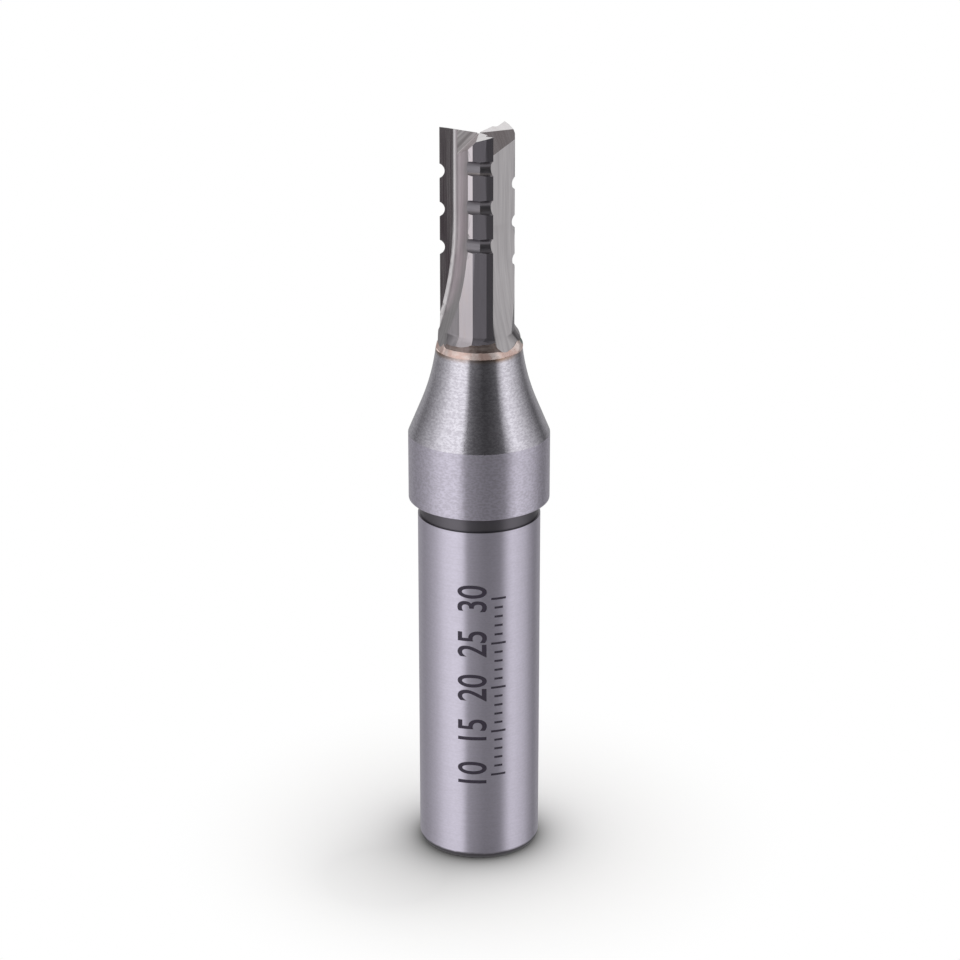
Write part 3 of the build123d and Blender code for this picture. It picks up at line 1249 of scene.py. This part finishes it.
@dataclass
class DepthScale:
    """Etched scale of insertion depth: millimetre ticks and plain numbers, read upwards."""

    shank_radius: float = 6.35
    lift: float = 0.004            # mm that the marks stand on the ground surface
    depth: float = 0.02            # mm that they reach under it
    numbers: tuple[int, ...] = (10, 15, 20, 25, 30)
    number_azimuth: float = -97.0  # degrees from +X, middle of the numbers
    tick_azimuth: float = -71.5    # degrees from +X, middle of the ticks
    digit_height: float = 3.0
    font_share: float = 0.7        # a digit's height as a share of the font's size
    condense: float = 0.74         # digits are this much narrower than the font's own
    stroke_swell: float = 0.045    # mm that each side of a digit's strokes gains
    curve_steps: int = 6           # stretches in each curve of a digit
    tick_thickness: float = 0.24
    short_tick: float = 0.9
    long_tick: float = 1.6
    long_every: int = 5            # mm from one long tick to the next
    slice_width: float = 0.25      # mm between the cuts that let the marks bend round the shank
    finish: EtchFinish = field(default_factory=EtchFinish)

    def flat_number(self, number: int) -> bmesh.types.BMesh:
        """A number as a flat solid: X along the reading direction, Y up the digits.

        Args:
            number: The number.

        Returns:
            The mesh, centred on its middle.
        """
        curve = bpy.data.curves.new("number", "FONT")
        curve.body = str(number)
        curve.size = self.digit_height / self.font_share
        curve.align_x = "CENTER"
        curve.extrude = (self.lift + self.depth) / 2.0
        curve.offset = self.stroke_swell
        curve.resolution_u = self.curve_steps
        text = bpy.data.objects.new("number", curve)
        bpy.context.scene.collection.objects.link(text)
        mesh = bpy.data.meshes.new_from_object(text.evaluated_get(bpy.context.evaluated_depsgraph_get()))
        bm = bmesh.new()
        bm.from_mesh(mesh)
        bpy.data.objects.remove(text)
        bpy.data.curves.remove(curve)
        bpy.data.meshes.remove(mesh)
        bmesh.ops.remove_doubles(bm, verts=bm.verts, dist=MERGE_DISTANCE)
        bmesh.ops.scale(bm, vec=(self.condense, 1.0, 1.0), verts=bm.verts)
        bmesh.ops.translate(bm, vec=(0.0, -self.digit_height / 2.0, 0.0), verts=bm.verts)
        return bm

    def flat_tick(self, length: float) -> bmesh.types.BMesh:
        """A tick as a flat solid, in the same layout as a number.

        Args:
            length: Length across the shank.

        Returns:
            The mesh, centred on its middle.
        """
        bm = bmesh.new()
        bmesh.ops.create_cube(bm, size=1.0)
        bmesh.ops.scale(bm, vec=(self.tick_thickness, length, self.lift + self.depth), verts=bm.verts)
        return bm

    def wrap(self, bm: bmesh.types.BMesh, height: float, azimuth: float) -> None:
        """Bends a flat mark round the shank.

        Args:
            bm: Flat mark.
            height: Height of its middle.
            azimuth: Degrees from +X to its middle.
        """
        reach = max(abs(vert.co.y) for vert in bm.verts)
        cuts = int(reach / self.slice_width)
        for cut in range(-cuts, cuts + 1):
            bmesh.ops.bisect_plane(
                bm,
                geom=bm.verts[:] + bm.edges[:] + bm.faces[:],
                plane_co=(0.0, cut * self.slice_width, 0.0),
                plane_no=(0.0, 1.0, 0.0),
            )
        middle = self.shank_radius + (self.lift - self.depth) / 2.0
        for vert in bm.verts:
            angle = math.radians(azimuth) - vert.co.y / self.shank_radius
            radius = middle + vert.co.z
            vert.co = Vector((radius * math.cos(angle), radius * math.sin(angle), height + vert.co.x))
        bmesh.ops.recalc_face_normals(bm, faces=bm.faces)

    def build(self) -> bpy.types.Object:
        """Makes the numbers and ticks as one piece.

        Returns:
            The piece.
        """
        whole = bmesh.new()
        marks = []
        for number in self.numbers:
            marks.append((self.flat_number(number), float(number), self.number_azimuth))
        for height in range(self.numbers[0], self.numbers[-1] + 1):
            length = self.short_tick if height % self.long_every else self.long_tick
            marks.append((self.flat_tick(length), float(height), self.tick_azimuth))
        for bm, height, azimuth in marks:
            self.wrap(bm, height, azimuth)
            part = bpy.data.meshes.new("mark")
            bm.to_mesh(part)
            bm.free()
            whole.from_mesh(part)
            bpy.data.meshes.remove(part)
        piece = as_piece(whole, "etched_depth_scale", Slot.STEEL)
        piece.data.materials.append(self.finish.material())
        return piece


# ---- Studio -------------------------------------------------------------------------------------
@dataclass
class Studio:
    """Pale floor, a light tent with a dark gap at its front, and the camera."""

    floor_size: float = 4.0        # m
    # Shadow painted into the floor's colour round the bit, on top of its real shadow:
    contact_shade: float = 0.57    # share of the floor's tone lost right at the bit's edge
    contact_reach: float = 2.4     # mm over which most of that fades
    soft_shade: float = 0.14       # share lost to the wide, soft shadow
    soft_reach: float = 6.2        # mm
    soft_place: tuple[float, float] = (-9.8, -10.0)  # mm, where the soft shadow has its middle
    white_from: float = 8.5        # mm from the axis, where the floor starts to turn white
    white_at: float = 35.0         # mm, where it is white
    floor_tint: Colour = (1.0, 0.995, 0.985)
    # Each row: degrees from the camera's side, positive to the right; the tent's level there
    # below the horizon; and its level above the horizon.
    levels: tuple[tuple[float, float, float], ...] = (
        (-180.0, 0.34, 0.34),
        (-150.0, 0.35, 0.20),
        (-126.0, 0.25, 0.12),
        (-108.0, 0.33, 0.32),
        (-88.0, 0.50, 0.52),
        (-68.0, 0.86, 0.88),
        (-50.0, 0.97, 0.98),
        (-32.0, 0.94, 0.96),
        (-22.0, 0.20, 0.20),
        (-10.0, 0.17, 0.10),
        (10.0, 0.055, 0.05),
        (28.0, 0.08, 0.07),
        (42.0, 0.13, 0.12),
        (54.0, 0.60, 0.68),
        (63.0, 0.86, 0.94),
        (78.0, 0.72, 0.78),
        (94.0, 0.58, 0.52),
        (110.0, 0.31, 0.30),
        (128.0, 0.16, 0.06),
        (150.0, 0.33, 0.14),
        (180.0, 0.34, 0.34),
    )
    belt_limits: Limits = (-6.0, 10.0)     # degrees of elevation, from the lower level to the upper
    low_level: float = 0.46        # near floor, far below the horizon
    low_limits: Limits = (-50.0, -26.0)    # degrees of elevation, from the near floor to the tent
    top_level: float = 0.18        # above the tent
    top_limits: Limits = (32.0, 68.0)      # degrees of elevation, from the tent to the top
    top_share: float = 0.85        # how far the top takes over
    back_level: float = 1.0        # white backdrop behind the bit
    back_limits: Limits = (142.0, 162.0)   # degrees from the camera's side, from the tent to it
    back_rise: Limits = (3.0, 12.0)        # degrees of elevation, from the tent to it
    sensor: float = 36.0           # mm, width
    lens: float = 108.7            # mm
    pitch: float = 20.588          # degrees that the camera looks down
    distance: float = 313.645      # mm, measured along the view
    rise: float = 37.917           # mm, measured across the view
    sideways: float = 0.09         # mm, to the right
    upwards: float = 0.2           # mm, on top of what the distance and the rise give
    clip: Limits = (0.01, 10.0)    # m

    def level_round(
        self, graph: ShaderGraph, turn: Value, levels: Sequence[tuple[float, float]]
    ) -> Socket:
        """Brightness of one belt of the tent, all the way round.

        Args:
            graph: Graph of the world.
            turn: Direction as a share of a full turn, 0.5 at the camera's side.
            levels: Degrees from the camera's side, and the level there.

        Returns:
            The level's output socket.
        """
        ramp = graph.node("ShaderNodeValToRGB", {0: turn})
        ramp.color_ramp.interpolation = "LINEAR"
        stops = ramp.color_ramp.elements
        while len(stops) < len(levels):
            stops.new(1.0)
        for stop, (angle, level) in zip(stops, levels):
            stop.position = angle / 360.0 + 0.5
            stop.color = (level, level, level, 1.0)
        return ramp.outputs[0]

    def tent_level(self, graph: ShaderGraph, way: Value) -> Socket:
        """Brightness of the tent in a direction.

        Args:
            graph: Graph of the world.
            way: Direction.

        Returns:
            The level's output socket.
        """
        parts = graph.node("ShaderNodeSeparateXYZ", {0: way}).outputs
        azimuth = graph.math("ARCTAN2", parts["X"], graph.math("MULTIPLY", parts["Y"], -1.0))
        elevation = graph.math("MULTIPLY", graph.math("ARCSINE", parts["Z"]), math.degrees(1.0))
        turn = graph.math("ADD", graph.math("DIVIDE", azimuth, 2.0 * math.pi), 0.5)
        below = self.level_round(graph, turn, [(row[0], row[1]) for row in self.levels])
        above = self.level_round(graph, turn, [(row[0], row[2]) for row in self.levels])
        around = graph.blend(graph.step(elevation, *self.belt_limits), below, above)
        low = graph.step(elevation, *self.low_limits, 1.0, 0.0)
        high = graph.step(elevation, *self.top_limits, 0.0, self.top_share)
        back_from, back_to = (math.radians(limit) for limit in self.back_limits)
        behind = graph.step(graph.math("ABSOLUTE", azimuth), back_from, back_to)
        behind = graph.math("MULTIPLY", behind, graph.step(elevation, *self.back_rise))
        level = graph.blend(low, around, self.low_level)
        level = graph.blend(high, level, self.top_level)
        return graph.blend(behind, level, self.back_level)

    def make_world(self) -> None:
        """World: the tent for gloss, an even level for matt surfaces, white for the camera."""
        world = bpy.data.worlds.new("light_tent")
        world.use_nodes = True
        graph = ShaderGraph(world.node_tree)
        way = graph.node("ShaderNodeTexCoord").outputs["Generated"]
        rays = graph.node("ShaderNodeLightPath").outputs
        plain = graph.math("MAXIMUM", rays["Is Camera Ray"], rays["Is Diffuse Ray"])
        level = graph.blend(plain, self.tent_level(graph, way), 1.0)
        background = graph.node("ShaderNodeBackground", {"Color": (1.0, 1.0, 1.0), "Strength": level})
        graph.node("ShaderNodeOutputWorld", {"Surface": background.outputs[0]})
        bpy.context.scene.world = world

    def faded(self, graph: ShaderGraph, away: Value, shade: float, reach: float) -> Socket:
        """Shade that is whole up to the shank's radius and dies away outside it.

        Args:
            graph: Graph of the floor.
            away: Distance from the shade's middle, in millimetres.
            shade: Full strength.
            reach: Distance over which it falls to about a third.

        Returns:
            The shade's output socket.
        """
        outside = graph.math("MAXIMUM", graph.math("SUBTRACT", away, SteelShank.shank_radius), 0.0)
        decay = graph.math("EXPONENT", graph.math("DIVIDE", outside, -reach))
        return graph.math("MULTIPLY", decay, shade)

    def floor_material(self) -> bpy.types.Material:
        """Matt white floor with the bit's shadow painted into its colour, over the real shadow, fading to
        white around it.

        Returns:
            The material.
        """
        made, graph = new_material("studio_floor")
        place = graph.place()
        away = graph.distance(place, (0.0, 0.0, 0.0))
        contact = self.faded(graph, away, self.contact_shade, self.contact_reach)
        soft_away = graph.distance(place, (*self.soft_place, 0.0))
        soft = self.faded(graph, soft_away, self.soft_shade, self.soft_reach)
        # Painted shadow: the floor's colour darkens towards the bit.
        shade = graph.math("SUBTRACT", graph.math("SUBTRACT", 1.0, contact), soft, clamp=True)
        colour = graph.tint(shade, (0.0, 0.0, 0.0), self.floor_tint)
        matt = graph.node("ShaderNodeBsdfDiffuse", {"Color": colour})
        white = graph.node("ShaderNodeEmission", {"Color": (1.0, 1.0, 1.0), "Strength": 1.0})
        share = graph.step(away, self.white_from, self.white_at)
        mixed = graph.node("ShaderNodeMixShader", {0: share, 1: matt.outputs[0], 2: white.outputs[0]})
        graph.node("ShaderNodeOutputMaterial", {"Surface": mixed.outputs[0]})
        return made

    def make_floor(self) -> None:
        """Floor under the bit."""
        bm = bmesh.new()
        bmesh.ops.create_grid(bm, x_segments=1, y_segments=1, size=self.floor_size / 2.0)
        mesh = bpy.data.meshes.new("floor")
        bm.to_mesh(mesh)
        bm.free()
        floor = bpy.data.objects.new("floor", mesh)
        floor.data.materials.append(self.floor_material())
        floor.visible_glossy = False
        bpy.context.scene.collection.objects.link(floor)

    def make_camera(self) -> None:
        """Camera in front of the bit, looking down at it."""
        pitch = math.radians(self.pitch)
        ahead = self.distance * math.cos(pitch) - self.rise * math.sin(pitch)
        height = self.distance * math.sin(pitch) + self.rise * math.cos(pitch)
        data = bpy.data.cameras.new("camera")
        data.sensor_width = self.sensor
        data.lens = self.lens
        data.clip_start, data.clip_end = self.clip
        camera = bpy.data.objects.new("camera", data)
        camera.location = Vector((self.sideways, -ahead, height + self.upwards)) * MM
        camera.rotation_euler = (math.pi / 2.0 - pitch, 0.0, 0.0)
        bpy.context.scene.collection.objects.link(camera)
        bpy.context.scene.camera = camera

    def build(self) -> None:
        """Makes the world, the floor and the camera."""
        bpy.context.scene.view_settings.view_transform = "Standard"
        self.make_world()
        self.make_floor()
        self.make_camera()


def main() -> None:
    """Builds and dresses the bit, sets the studio and reports each piece."""
    logging.basicConfig(level=logging.INFO, format="%(name)s: %(message)s")
    Studio().build()
    shank = SteelShank()
    head = CuttingHead()
    pieces = [shank.build(), head.build(), BrazeJoint().build(shank, head), DepthScale().build()]
    for piece in pieces:
        log.info("%s: %d faces", piece.name, len(piece.data.polygons))


if __name__ == "__main__":
    main()
